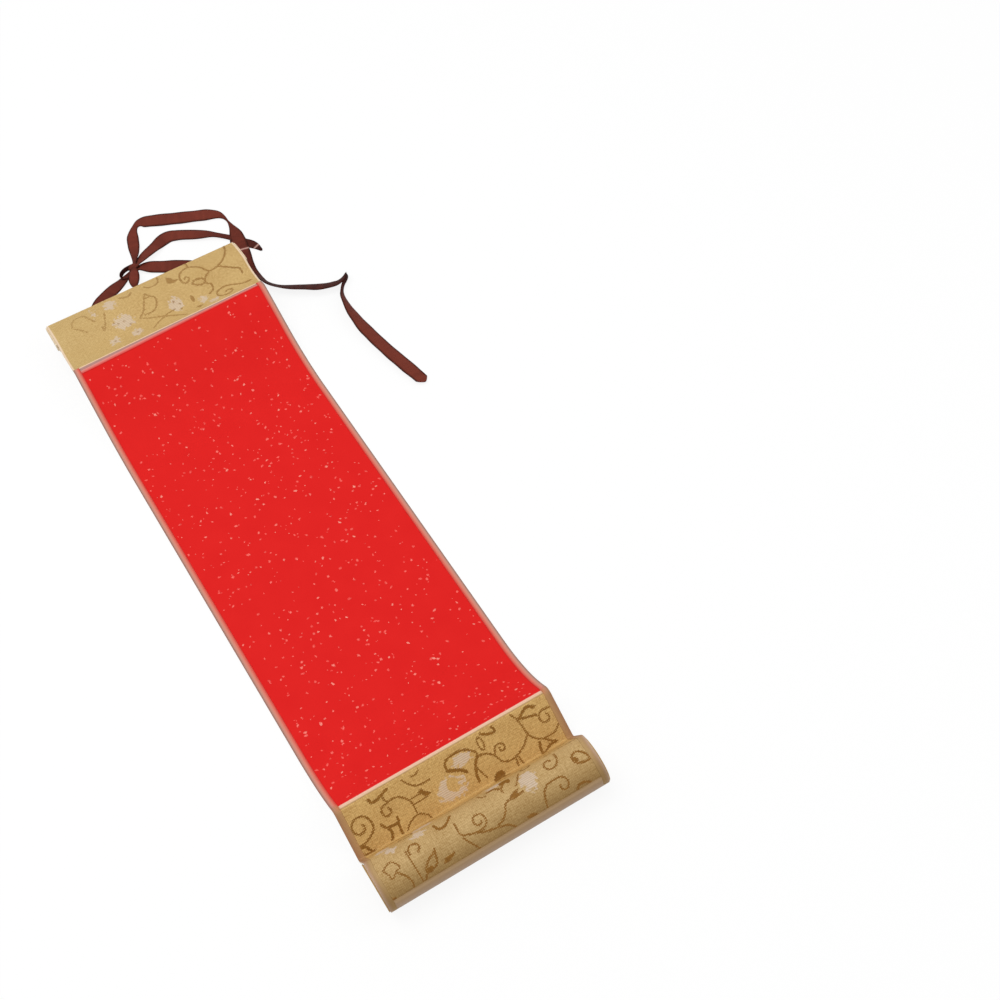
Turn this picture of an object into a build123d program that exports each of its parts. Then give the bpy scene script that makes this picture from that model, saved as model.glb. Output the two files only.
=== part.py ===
from build123d import *
from math import acos, atan2, cos, degrees, hypot, radians, sin, tan
import os

# Small hanging scroll, laid open on its back: a red paper panel between two brocade panels,
# with a flat stick in its top pocket, a round roller in its bottom roll and a ribbon to hang it by.
# Millimetres. +X runs across the scroll, +Y to its top and +Z up from the table.

# Mounted sheet: layers pasted on each other, and the pale strips over their edges and joins
scroll_width = 120.0
backing_thickness = 0.4
panel_thickness = 0.4
strip_thickness = 0.2
side_strip_width = 3.5
cross_strip_width = 4.2

# Runs of the sheet along Y, from the roller's axis to the pocket
roll_run = 18.2
crease_run = 23.0
lower_rise_run = 20.0
flat_run = 241.0
upper_rise_run = 46.6
top_panel_run = 25.6

# Heights of the sheet's back face above the table
crease_height = 3.2
lower_ridge_height = 17.3
upper_ridge_height = 20.8

# Bends of the sheet, and the share of a run that the bends at its two ends may take up
crease_fold_radius = 1.0
ridge_radius = 3.0
lower_foot_radius = 60.0
upper_foot_radius = 104.0
bend_share = 0.98

# Bottom roller, the sheet's wrap on it and the pale hem on the front of the roll, angles from +Y
roller_diameter = 24.2
roller_cap_thickness = 0.6
wrap_end_angle = 330.0
hem_start_angle = 152.0
hem_end_angle = 250.0

# Top stick: flat on its back, with a low crown to the front, and a little longer than the sheet is wide
stick_width = 18.0
stick_thickness = 5.5
stick_edge_height = 3.0
stick_edge_radius = 1.2
stick_crown_run = 8.0
stick_crown_radius = 40.0
stick_overhang = 0.8
stick_base_height = 14.0
pocket_flap = 8.0
paste_gap = 0.1

# Screw eyes in the back of the stick, and the wood left above their screws
eyelet_spacing = 76.0
eyelet_ring_diameter = 6.2
eyelet_wire_diameter = 1.2
eyelet_wire_sides = 12
eyelet_table_gap = 0.6
eyelet_cover = 1.5

# Ribbon, the share of a run that one of its bends takes up, and the knot that lies on it
ribbon_width = 10.0
ribbon_thickness = 0.5
ribbon_bend_share = 0.45
ribbon_eyelet_gap = 0.8
knot_place = (4.5, 38.7)
knot_radius = 5.0
knot_height = 4.5
knot_round = 2.4

# Sizes that follow from those above
sheet_thickness = backing_thickness + panel_thickness
bound_thickness = sheet_thickness + strip_thickness
roller_radius = roller_diameter / 2
roll_radius = roller_radius + sheet_thickness
sheet_runs = roll_run + crease_run + lower_rise_run + flat_run + upper_rise_run + top_panel_run
overall_length = roller_radius + bound_thickness + sheet_runs + stick_width + sheet_thickness
inner_width = scroll_width - 2 * side_strip_width
crease_radius = crease_fold_radius + bound_thickness
eyelet_wire_radius = eyelet_wire_diameter / 2
eyelet_ring_radius = eyelet_ring_diameter / 2
eyelet_screw_depth = stick_thickness - eyelet_cover
eyelet_x = eyelet_spacing / 2
ribbon_end_y = eyelet_wire_radius + ribbon_eyelet_gap

# Ribbon routes on the table, measured from the stick's middle, from the lowest layer to the highest
ribbon_routes = {
    "short_tie_ribbon": [
        knot_place, (18.0, 48.6), (30.0, 51.8), (44.5, 45.2), (60.4, 34.1), (72.6, 22.8), (77.0, 11.2),
    ],
    "long_tie_ribbon": [
        knot_place, (8.5, 52.0), (12.5, 63.0), (20.5, 73.0), (33.0, 67.6), (49.6, 59.6), (64.5, 53.2),
        (71.0, 45.8), (69.6, 31.0), (67.4, 16.3), (64.0, 3.1), (64.4, -11.0), (70.0, -24.8), (80.8, -33.6),
        (91.5, -39.8), (102.0, -42.2), (107.4, -48.4), (103.5, -57.0), (99.2, -67.0), (97.6, -80.5),
        (100.8, -100.0), (108.6, -132.0),
    ],
    "hanging_ribbon": [
        (-eyelet_x, ribbon_end_y), (-36.5, 12.0), (-25.5, 26.0), (-8.0, 33.2), knot_place, (15.0, 35.4),
        (24.0, 29.6), (34.0, 24.6), (40.0, 16.5), (39.5, 8.6), (eyelet_x, ribbon_end_y),
    ],
}

# Places along Y, with the scroll's middle at zero
axis_y = roller_radius + bound_thickness - overall_length / 2
crease_y = axis_y + roll_run
lower_ridge_y = crease_y + crease_run
lower_foot_y = lower_ridge_y + lower_rise_run
upper_foot_y = lower_foot_y + flat_run
upper_ridge_y = upper_foot_y + upper_rise_run
pocket_y = upper_ridge_y + top_panel_run
stick_top_y = pocket_y + stick_width
stick_middle_y = pocket_y + stick_width / 2
crown_y = pocket_y + stick_crown_run

# Heights of the roller's axis, of the stick's crown and back edge and of the screw eyes' rings
axis_z = roll_radius
crown_z = stick_base_height + stick_thickness
panel_slope = (upper_ridge_height - crown_z) / (stick_crown_run + top_panel_run)
pocket_z = crown_z + panel_slope * stick_crown_run
pocket_base_z = stick_base_height - sheet_thickness
eyelet_ring_z = eyelet_table_gap + eyelet_wire_radius + eyelet_ring_radius
above_all = 2 * (crown_z + upper_ridge_height + roller_diameter)

# The sheet leaves the crease in a straight line that touches the roller
crease_reach = hypot(roll_run, crease_height - axis_z)
crease_bearing = atan2(crease_height - axis_z, roll_run)
touch_angle = degrees(crease_bearing + acos(roller_radius / crease_reach))
touch_place = (
    axis_y + roller_radius * cos(radians(touch_angle)),
    axis_z + roller_radius * sin(radians(touch_angle)),
)


def fitted(corners):
    """Corners of a line with each bend's radius held to the room that its two runs have for it."""
    points = [Vector(*place) for place, radius in corners]
    runs = [after - before for before, after in zip(points, points[1:])]
    turns = [radians(before.get_angle(after)) for before, after in zip(runs, runs[1:])]
    reaches = [0.0] + [radius * tan(turn / 2) for (place, radius), turn in zip(corners[1:], turns)] + [0.0]
    shares = [1.0]
    for run, before, after in zip(runs, reaches, reaches[1:]):
        shares.append(min(1.0, bend_share * run.length / (before + after)))
    shares.append(1.0)
    limits = [min(before, after) for before, after in zip(shares, shares[1:])]
    return [(place, radius * limit) for (place, radius), limit in zip(corners, limits)]


def raised(corners, lift):
    """Corners and bend radii of the line that runs parallel to the back face, lifted to its outer side."""
    points = [Vector(*place) for place, radius in corners]
    runs = [(after - before).normalized() for before, after in zip(points, points[1:])]
    outward = [Vector(run.Y, -run.X) for run in runs]
    lifted = [points[0] + outward[0] * lift]
    radii = []
    for (place, radius), before, after in zip(corners[1:], outward, outward[1:]):
        lifted.append(Vector(*place) + (before + after) * (lift / (1 + before.dot(after))))
        turns_left = before.cross(after).Z > 0
        radii.append(radius + (lift if turns_left else -lift))
    lifted.append(points[-1] + outward[-1] * lift)
    return lifted, radii


def layer_section(corners, low, high, end_angle, from_x):
    """Section of one layer of the sheet, between two lifts above its back face, drawn at a place along X."""
    with BuildSketch(Plane.YZ.offset(from_x)) as section:
        with BuildLine():
            ends = []
            for lift in (low, high):
                points, radii = raised(corners, lift)
                run = FilletPolyline(*points, radius=radii)
                wrap = CenterArc((axis_y, axis_z), roller_radius + lift, touch_angle, end_angle - touch_angle)
                ends.append((run @ 0, wrap @ 1))
            Line(ends[0][0], ends[1][0])
            Line(ends[0][1], ends[1][1])
        make_face()
    return section.sketch


def eyelet_places(z):
    """Places of the two screw eyes at a height."""
    return [(side * eyelet_x, stick_middle_y, z) for side in (-1, 1)]


def write(piece, name):
    """Label a finished piece and write its file."""
    piece.label = name
    export_step(piece, f"parts/{name}.step")


# Corners of the sheet's back face in the YZ section, each with the radius of its bend
flap_corners = [
    ((pocket_y - pocket_flap, pocket_z + panel_slope * pocket_flap - paste_gap), 0.0),
    ((pocket_y, pocket_z - paste_gap), crease_radius),
]
stick_corners = [
    ((pocket_y, stick_base_height), stick_edge_radius),
    ((stick_top_y, stick_base_height), stick_edge_radius),
    ((stick_top_y, stick_base_height + stick_edge_height), stick_edge_radius),
    ((crown_y, crown_z), stick_crown_radius),
]
panel_corners = [
    ((upper_ridge_y, upper_ridge_height), ridge_radius),
    ((upper_foot_y, 0.0), upper_foot_radius),
    ((lower_foot_y, 0.0), lower_foot_radius),
    ((lower_ridge_y, lower_ridge_height), ridge_radius),
    ((crease_y, crease_height), crease_radius),
    (touch_place, 0.0),
]
sheet_corners = fitted(flap_corners + stick_corners + panel_corners)
fitted_stick_corners = sheet_corners[len(flap_corners):-len(panel_corners)]
strip_corners = [((pocket_y, pocket_z), 0.0)] + sheet_corners[-len(panel_corners):]

os.makedirs("parts", exist_ok=True)
across = (1, 0, 0)
on_base = (Align.CENTER, Align.CENTER, Align.MIN)

# Backing paper, from the pocket's flap to the end of its wrap on the roller
left_edge = -scroll_width / 2
with BuildPart() as backing_paper:
    add(layer_section(sheet_corners, 0.0, backing_thickness, wrap_end_angle, left_edge))
    extrude(amount=scroll_width, dir=across)
    with Locations(*eyelet_places(pocket_base_z)):
        Cylinder(eyelet_wire_radius, sheet_thickness, align=on_base, mode=Mode.SUBTRACT)
write(backing_paper.part, "backing_paper")

# Front panels, cut from one layer at the two ridges
panel_cuts = {
    "top_brocade": (upper_ridge_y, overall_length),
    "red_paper": (lower_ridge_y, upper_ridge_y),
    "bottom_brocade": (-overall_length, lower_ridge_y),
}
for name, (from_y, to_y) in panel_cuts.items():
    with BuildPart() as panel:
        add(layer_section(sheet_corners, backing_thickness, sheet_thickness, wrap_end_angle, left_edge))
        extrude(amount=scroll_width, dir=across)
        with Locations((0, (from_y + to_y) / 2, 0)):
            Box(2 * scroll_width, to_y - from_y, above_all, mode=Mode.INTERSECT)
        with Locations(*eyelet_places(pocket_base_z)):
            Cylinder(eyelet_wire_radius, sheet_thickness, align=on_base, mode=Mode.SUBTRACT)
    write(panel.part, name)

# Pale binding along the two long edges, from the upper join to the front of the roll
for name, from_x in (("left_side_strip", left_edge), ("right_side_strip", inner_width / 2)):
    with BuildPart() as side_strip:
        add(layer_section(strip_corners, sheet_thickness, bound_thickness, hem_end_angle, from_x))
        extrude(amount=side_strip_width, dir=across)
        with Locations((0, upper_ridge_y + cross_strip_width / 2 - overall_length, 0)):
            Box(2 * scroll_width, 2 * overall_length, above_all, mode=Mode.INTERSECT)
    write(side_strip.part, name)

# Narrow strips over the joins of red paper and brocade
for name, ridge_y in (("upper_cross_strip", upper_ridge_y), ("lower_cross_strip", lower_ridge_y)):
    with BuildPart() as cross_strip:
        add(layer_section(strip_corners, sheet_thickness, bound_thickness, hem_end_angle, -inner_width / 2))
        extrude(amount=inner_width, dir=across)
        with Locations((0, ridge_y, 0)):
            Box(2 * scroll_width, cross_strip_width, above_all, mode=Mode.INTERSECT)
    write(cross_strip.part, name)

# Pale hem along the front of the roll
hem_angle = hem_end_angle - hem_start_angle
with BuildPart() as roll_hem_strip:
    with BuildSketch(Plane.YZ):
        with BuildLine():
            inner = CenterArc((axis_y, axis_z), roll_radius, hem_start_angle, hem_angle)
            outer = CenterArc((axis_y, axis_z), roll_radius + strip_thickness, hem_start_angle, hem_angle)
            Line(inner @ 0, outer @ 0)
            Line(inner @ 1, outer @ 1)
        make_face()
    extrude(amount=inner_width / 2, both=True)
write(roll_hem_strip.part, "roll_hem_strip")

# Top stick, which the pocket fits all round
with BuildPart() as top_stick:
    with BuildSketch(Plane.YZ):
        with BuildLine():
            FilletPolyline(
                (pocket_y, pocket_z),
                *[place for place, radius in fitted_stick_corners],
                radius=[0.0] + [radius for place, radius in fitted_stick_corners],
                close=True,
            )
        make_face()
    extrude(amount=scroll_width / 2 + stick_overhang, both=True)
    with Locations(*eyelet_places(stick_base_height)):
        Cylinder(eyelet_wire_radius, eyelet_screw_depth, align=on_base, mode=Mode.SUBTRACT)
write(top_stick.part, "top_stick")

# Bottom roller, and the brocade discs over its two ends
with BuildPart() as bottom_roller:
    with BuildSketch(Plane.YZ):
        with Locations((axis_y, axis_z)):
            Circle(roller_radius)
    extrude(amount=scroll_width / 2, both=True)
write(bottom_roller.part, "bottom_roller")

for name, side in (("left_roller_cap", -1), ("right_roller_cap", 1)):
    with BuildPart() as roller_cap:
        with BuildSketch(Plane.YZ.offset(side * scroll_width / 2)):
            with Locations((axis_y, axis_z)):
                Circle(roller_radius + backing_thickness)
        extrude(amount=side * roller_cap_thickness)
    write(roller_cap.part, name)

# Screw eyes: a wire ring under the stick, on a shank that goes up through the pocket
shank_length = stick_base_height + eyelet_screw_depth - eyelet_ring_z - eyelet_ring_radius
for name, (x, y, z) in zip(("left_eyelet", "right_eyelet"), eyelet_places(eyelet_ring_z)):
    with BuildPart() as eyelet:
        with BuildSketch(Plane.YZ.offset(x)):
            with Locations((y, z + eyelet_ring_radius)):
                RegularPolygon(eyelet_wire_radius, eyelet_wire_sides)
        revolve(axis=Axis((x, y, z), (0, 1, 0)))
        with Locations((x, y, z + eyelet_ring_radius)):
            Cylinder(eyelet_wire_radius, shank_length, align=on_base)
    write(eyelet.part, name)

# Ribbon: flat bands on the table, one on the other, with bends as large as their runs allow
for layer, (name, points) in enumerate(ribbon_routes.items()):
    runs = [Vector(*after) - Vector(*before) for before, after in zip(points, points[1:])]
    turns = [radians(before.get_angle(after)) for before, after in zip(runs, runs[1:])]
    shorter = [min(before.length, after.length) for before, after in zip(runs, runs[1:])]
    radii = [ribbon_bend_share * run / tan(turn / 2) for run, turn in zip(shorter, turns)]
    with BuildPart() as ribbon:
        with BuildLine(Plane((0, stick_middle_y, (layer + 1 / 2) * ribbon_thickness))) as route:
            FilletPolyline(*points, radius=radii)
        with BuildSketch(Plane(origin=route.line @ 0, x_dir=(0, 0, 1), z_dir=route.line % 0)):
            Rectangle(ribbon_thickness, ribbon_width)
        sweep()
    write(ribbon.part, name)
    length = sum(edge.length for edge in route.edges())
    print(name, "length", round(length, 1), "radii", [round(radius, 1) for radius in radii])

# Knot: a low rounded lump on the crossing of the ribbons
with BuildPart() as ribbon_knot:
    with Locations((knot_place[0], stick_middle_y + knot_place[1], len(ribbon_routes) * ribbon_thickness)):
        Cylinder(knot_radius, knot_height, align=on_base)
    fillet(ribbon_knot.edges().group_by(Axis.Z)[-1], knot_round)
write(ribbon_knot.part, "ribbon_knot")
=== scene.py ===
import math
from functools import partial

import bpy
import numpy as np
from mathutils import Matrix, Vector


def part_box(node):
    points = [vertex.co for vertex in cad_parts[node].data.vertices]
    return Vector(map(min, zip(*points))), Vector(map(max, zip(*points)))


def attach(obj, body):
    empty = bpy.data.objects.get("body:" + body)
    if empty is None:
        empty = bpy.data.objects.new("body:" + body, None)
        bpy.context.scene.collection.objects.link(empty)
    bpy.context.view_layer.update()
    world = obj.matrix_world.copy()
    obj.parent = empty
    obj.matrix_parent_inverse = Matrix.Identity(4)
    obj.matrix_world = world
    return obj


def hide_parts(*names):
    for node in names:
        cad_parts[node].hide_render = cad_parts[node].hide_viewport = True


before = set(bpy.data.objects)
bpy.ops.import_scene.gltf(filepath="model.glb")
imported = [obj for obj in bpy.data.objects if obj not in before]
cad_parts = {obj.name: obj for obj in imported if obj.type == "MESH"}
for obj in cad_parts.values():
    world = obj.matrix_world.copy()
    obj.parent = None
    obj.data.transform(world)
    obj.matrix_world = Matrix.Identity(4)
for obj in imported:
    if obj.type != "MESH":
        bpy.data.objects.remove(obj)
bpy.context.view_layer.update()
print("frame loaded with", len(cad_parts), "CAD nodes")

milli = 0.001  # every length below is in millimetres until a mesh is made
rollerLow, rollerHigh = (np.array(end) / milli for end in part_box("bottom_roller"))
stickLow, stickHigh = (np.array(end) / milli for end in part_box("top_stick"))
capLow, capHigh = (np.array(end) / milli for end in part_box("right_roller_cap"))
rollAxis = 0.5 * (rollerLow + rollerHigh)[1:]
rollRadius = 0.5 * (rollerHigh - rollerLow)[2]
stickMiddle = 0.5 * (stickLow + stickHigh)[1]
print("roller at", rollAxis.round(2), "radius", round(rollRadius, 2), "stick at", round(stickMiddle, 2))


def linear(code):  # sRGB hex to linear colour
    part = np.array([int(code[i:i + 2], 16) for i in (1, 3, 5)]) / 255
    value = np.where(part <= 0.04045, part / 12.92, ((part + 0.055) / 1.055) ** 2.4)
    return (*value.tolist(), 1.0)


# a node with its settings, values, links and ramp stops; gives the output asked for, or its first live one
def addNode(tree, kind, inputs=None, output=None, stops=(), **settings):
    node = tree.nodes.new("ShaderNode" + kind)
    for name, value in settings.items():
        setattr(node, name, value)
    for name, value in (inputs or {}).items():
        if isinstance(value, bpy.types.NodeSocket):
            tree.links.new(value, node.inputs[name])
        else:
            node.inputs[name].default_value = linear(value) if isinstance(value, str) else value
    while stops and len(node.color_ramp.elements) < len(stops):
        node.color_ramp.elements.new(1.0)
    for i, (place, code) in enumerate(stops):
        node.color_ramp.elements[i].position = place
        node.color_ramp.elements[i].color = linear(code)
    return node.outputs[output] if output else next((end for end in node.outputs if end.enabled), None)


# an empty material, what adds nodes to it, and the values that it reads from the mesh; pattern scales come
# from sizes in millimetres: a wave's lines are 0.314 / scale apart, a noise's spots about 1 / scale
def newMaterial(name, *facts):
    material = bpy.data.materials.new(name)
    material.use_nodes = True
    material.node_tree.nodes.clear()
    add = partial(addNode, material.node_tree)
    return material, add, *(add("Attribute", output="Fac", attribute_name=fact) for fact in facts)


# points in millimetres and their faces made a piece of the scroll, with a value per point for each key
def addPiece(name, points, faces, material, values=None, replaced=()):
    mesh = bpy.data.meshes.new(name)
    mesh.from_pydata((np.asarray(points) * milli).tolist(), [], faces)
    for key, data in (values or {}).items():
        layer = mesh.attributes.new(key, "FLOAT", "POINT")
        layer.data.foreach_set("value", np.asarray(data, np.float32).ravel())
    mesh.shade_smooth()
    mesh.materials.append(material)
    piece = bpy.data.objects.new(name, mesh)
    bpy.context.scene.collection.objects.link(piece)
    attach(piece, "root")
    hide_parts(*replaced)
    return piece


def unit(vectors):  # the same directions with length 1
    return vectors / np.linalg.norm(vectors, axis=-1, keepdims=True)


def circle(angle):  # points on the unit circle
    return np.stack([np.cos(angle), np.sin(angle)], axis=-1)


def lengthAlong(line):  # the run from a line's start to each of its points
    return np.r_[0, np.cumsum(np.linalg.norm(np.diff(line, axis=0), axis=1))]


def smoothCurve(points, steps=6):  # Catmull-Rom curve through every point
    points = np.asarray(points, float)
    padded = np.vstack([2 * points[0] - points[1], points, 2 * points[-1] - points[-2]])
    t = np.linspace(0, 1, steps, endpoint=False)[:, None]
    basis = 0.5 * np.hstack([
        -t + 2 * t**2 - t**3, 2 - 5 * t**2 + 3 * t**3, t + 4 * t**2 - 3 * t**3, t**3 - t**2])
    windows = np.stack([padded[i:len(points) - 1 + i] for i in range(4)], axis=1)
    return np.vstack([np.einsum("tk,nkd->ntd", basis, windows).reshape(-1, points.shape[1]), points[-1:]])


def smoothSteps(x, places, values, soften):  # values at places, joined by straight runs and then rounded
    fine = np.linspace(x[0] - 4 * soften, x[-1] + 4 * soften, 2000)
    width = fine[1] - fine[0]
    kernel = np.exp(-0.5 * (np.arange(-3 * soften, 3 * soften + width, width) / soften) ** 2)
    raw = np.interp(fine, places, values)
    half = len(kernel) // 2
    rounded = np.convolve(np.pad(raw, half, mode="edge"), kernel / kernel.sum(), mode="valid")[:len(fine)]
    return np.interp(x, fine, rounded)


def tubeFaces(count, ring):  # quads from each ring of points to the next, and a flat cap at either end
    start = np.arange(count - 1)[:, None] * ring + np.arange(ring)
    after = np.arange(count - 1)[:, None] * ring + (np.arange(ring) + 1) % ring
    quads = np.stack([start, after, after + ring, start + ring], axis=2).reshape(-1, 4).tolist()
    return quads + [list(range(ring))[::-1], list(range((count - 1) * ring, count * ring))]


cameraValues = {  # place in metres, angles in degrees
    "lens": 56.42, "sensor": 36, "place": (-0.12275, -0.44152, 0.71093),
    "heading": -28.899, "down": 56.616, "roll": -3.186,
}
camera = bpy.data.objects.new("camera", bpy.data.cameras.new("camera"))
bpy.context.scene.collection.objects.link(camera)
camera.data.lens = cameraValues["lens"]
camera.data.sensor_width = cameraValues["sensor"]
camera.matrix_world = (
    Matrix.Translation(cameraValues["place"])
    @ Matrix.Rotation(math.radians(cameraValues["heading"]), 4, "Z")
    @ Matrix.Rotation(math.radians(90 - cameraValues["down"]), 4, "X")
    @ Matrix.Rotation(math.radians(cameraValues["roll"]), 4, "Z")
)
bpy.context.scene.camera = camera
print("camera placed")


# the ribbon's face is a dull reddish brown with darker woven edges and random streaks; each row's tone
# paints shade on it, and a pale line, a painted highlight, lies where it is creased
satin, add, across, along, light, crease = newMaterial(
    "polyester satin, woven ribbon", "across", "along", "tone", "crease")
edge = add("Math", {0: across}, operation="ABSOLUTE")
dark = add("MapRange", {"Value": edge, "From Min": 0.62}, interpolation_type="SMOOTHSTEP")
place = add("CombineXYZ", {"X": along, "Y": across})
streak = add("TexNoise", {"Vector": place, "Scale": 0.3, "Detail": 4.0})  # about 3 mm long
# the rows' tone, which is painted shade, with random streaks added
shadeAndStreak = add("Math", {0: streak, 1: 0.5, 2: light}, operation="MULTIPLY_ADD")
tone = add("MapRange", {"Value": shadeAndStreak, "From Min": 0.25, "From Max": 1.25})
face = add("Mix", {"Factor": tone, "A": "#2A0E0C", "B": "#803A2C"}, data_type="RGBA")
bound = add("Mix", {"Factor": dark, "A": face, "B": "#38160F"}, data_type="RGBA")
# a painted highlight: a pale line across the band where it is creased
paint = add("Mix", {"Factor": crease, "A": bound, "B": "#D2A79B"}, data_type="RGBA")
weave = add("TexWave", {  # 0.6 mm apart, drawn coarser than real satin so that it shows
    "Vector": place, "Scale": 0.52, "Distortion": 1.0}, "Fac")
relief = add("Bump", {"Height": weave, "Strength": 0.2, "Distance": 0.0001})
shader = add("BsdfPrincipled", {
    "Base Color": paint, "Roughness": 0.7, "Specular IOR Level": 0.1, "Normal": relief})
add("OutputMaterial", {"Surface": shader})


def routeLine(points):  # a NURBS route read back as close points, still in millimetres
    curve = bpy.data.curves.new("route", "CURVE")
    curve.dimensions = "3D"
    curve.resolution_u = 24
    spline = curve.splines.new("NURBS")
    spline.points.add(len(points) - 1)
    spline.points.foreach_set("co", np.c_[points, np.ones(len(points))].astype(np.float32).ravel())
    spline.order_u = 3
    spline.use_endpoint_u = True
    holder = bpy.data.objects.new("route", curve)
    mesh = bpy.data.meshes.new_from_object(holder)
    line = np.empty(len(mesh.vertices) * 3, np.float32)
    mesh.vertices.foreach_get("co", line)
    bpy.data.objects.remove(holder)
    bpy.data.curves.remove(curve)
    bpy.data.meshes.remove(mesh)
    return line.reshape(-1, 3).astype(float)


# places across a band and back, and half the band's rounded thickness there, below zero on the way back
def bandSection(count, thickness):
    share = np.linspace(-1, 1, count)
    loop = np.r_[share, share[::-1]]
    sign = np.r_[np.ones(count), -np.ones(count)]
    rim = np.sqrt(np.clip(1 - loop**6, 0, 1)) * 0.9 + 0.1
    return loop, 0.5 * thickness * sign * rim


ribbonBand = {
    "thickness": 0.5, "step": 0.5, "points": 11,  # sections this far apart, with so many points on a side
    "gap": 0.05, "ripples": (3.1, 7.3),  # least height over the table, and the lengths of its two ripples
    "tailRun": 6, "creaseHighlightWidth": 0.45,
}


# a ribbon is a flat section carried along its route: half width times the side direction turned by the
# twist angle, plus half thickness times the direction across it; the middle lifts where it stands on edge
def ribbonShape(values):
    rows = np.array(values["rows"], float)
    rows[:, 1] += stickMiddle
    line = routeLine(rows[:, :3])
    run = lengthAlong(line)
    share = np.r_[0, (np.arange(1, len(rows) - 1) - 0.5) / (len(rows) - 2), 1]  # where each row acts most
    stations = np.interp(share * (len(line) - 1), np.arange(len(line)), run)
    count = int(run[-1] / ribbonBand["step"]) + 1
    place = np.linspace(0, run[-1], count)
    centre = np.stack([np.interp(place, run, line[:, i]) for i in range(3)], axis=1)
    turned, width, tone = (smoothSteps(place, stations, rows[:, i], values["soften"]) for i in (3, 4, 5))
    twist = np.radians(turned)
    half = 0.5 * width
    lowest = np.abs(np.sin(twist)) * half + 0.5 * ribbonBand["thickness"] + ribbonBand["gap"]
    centre[:, 2] = np.maximum(centre[:, 2], lowest)
    ahead = unit(np.gradient(centre, axis=0))
    side = unit(np.cross(ahead, (0, 0, 1)))
    up = np.cross(side, ahead)
    wide = np.cos(twist)[:, None] * side + np.sin(twist)[:, None] * up
    face = np.cross(wide, ahead)
    loop, depth = bandSection(ribbonBand["points"], ribbonBand["thickness"])
    shortWave, longWave = ribbonBand["ripples"]
    ripple = values["ripple"] * np.sin(place / shortWave) * np.sin(place / longWave + 1)
    lift = values["cup"] * (1 - loop**2) + ripple[:, None] * loop * np.abs(loop) + depth
    ending = np.clip((place - (place[-1] - ribbonBand["tailRun"])) / ribbonBand["tailRun"], 0, 1)
    tail = ending[:, None] * values["point"] * np.abs(loop) ** 1.5
    points = (
        centre[:, None] + half[:, None, None] * loop[:, None] * wide[:, None]
        + lift[..., None] * face[:, None] - tail[..., None] * ahead[:, None]
    )
    floorHeight = ribbonBand["gap"] + 0.5 * ribbonBand["thickness"] * (1 + np.sign(depth))
    points[..., 2] = np.maximum(points[..., 2], floorHeight)
    # the painted crease highlight, strongest at the section nearest each listed crease
    crease = np.zeros(count)
    for spot in values.get("highlightedCreases", ()):
        nearest = np.linalg.norm(centre[:, :2] - (spot[0], spot[1] + stickMiddle), axis=1).argmin()
        away = (place - place[nearest]) / ribbonBand["creaseHighlightWidth"]
        crease = np.maximum(crease, np.exp(-(away**2)))
    ring = len(loop)
    facts = {"across": np.tile(loop, count), "along": np.repeat(place, ring),
             "tone": np.repeat(tone, ring), "crease": np.repeat(crease, ring)}
    return points.reshape(-1, 3), tubeFaces(count, ring), facts, centre * milli, place[-1]


def makeRibbon(name, values, replaced):
    points, faces, facts, line, length = ribbonShape(values)
    return addPiece(name, points, faces, satin, facts, replaced), line, length


# each row of a ribbon: x, distance beyond the stick, height, twist in degrees, width seen flat, tone 0 to
# 1;
# the tone is painted shade, lowest where a strand stands on edge and where it lies in shade
hangingRibbon = {
    "rows": [(-38, 1.4, 1.2, 0, 8, 0.5), (-34, 12, 0.9, 0, 8, 0.5), (-26, 23.2, 0.8, -6, 7.6, 0.55),
             (-18.8, 27, 0.9, -8, 7.8, 0.6), (-12.6, 29.3, 1, -8, 7.8, 0.6), (-7, 31.4, 1.2, 5, 7.4, 0.5),
             (-3, 33.4, 1.4, 25, 6.5, 0.4), (3.9, 36.4, 2, 30, 4, 0.4), (8.2, 35.9, 1.8, 12, 7.5, 0.65),
             (13, 33.9, 1.2, 0, 9.6, 0.75), (20, 29.5, 0.9, 0, 10, 0.7), (27.5, 25.6, 0.8, 0, 10, 0.6),
             (36, 20, 0.8, 0, 9, 0.5), (39.6, 10, 0.9, 0, 8, 0.5), (38, 1.4, 1.2, 0, 8, 0.5)],
    "soften": 2.0, "ripple": 0.2, "point": 0.0, "cup": 0.4,
}
hanging, hangingLine, hangingLength = makeRibbon("hangingRibbon", hangingRibbon, ["hanging_ribbon"])

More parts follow.
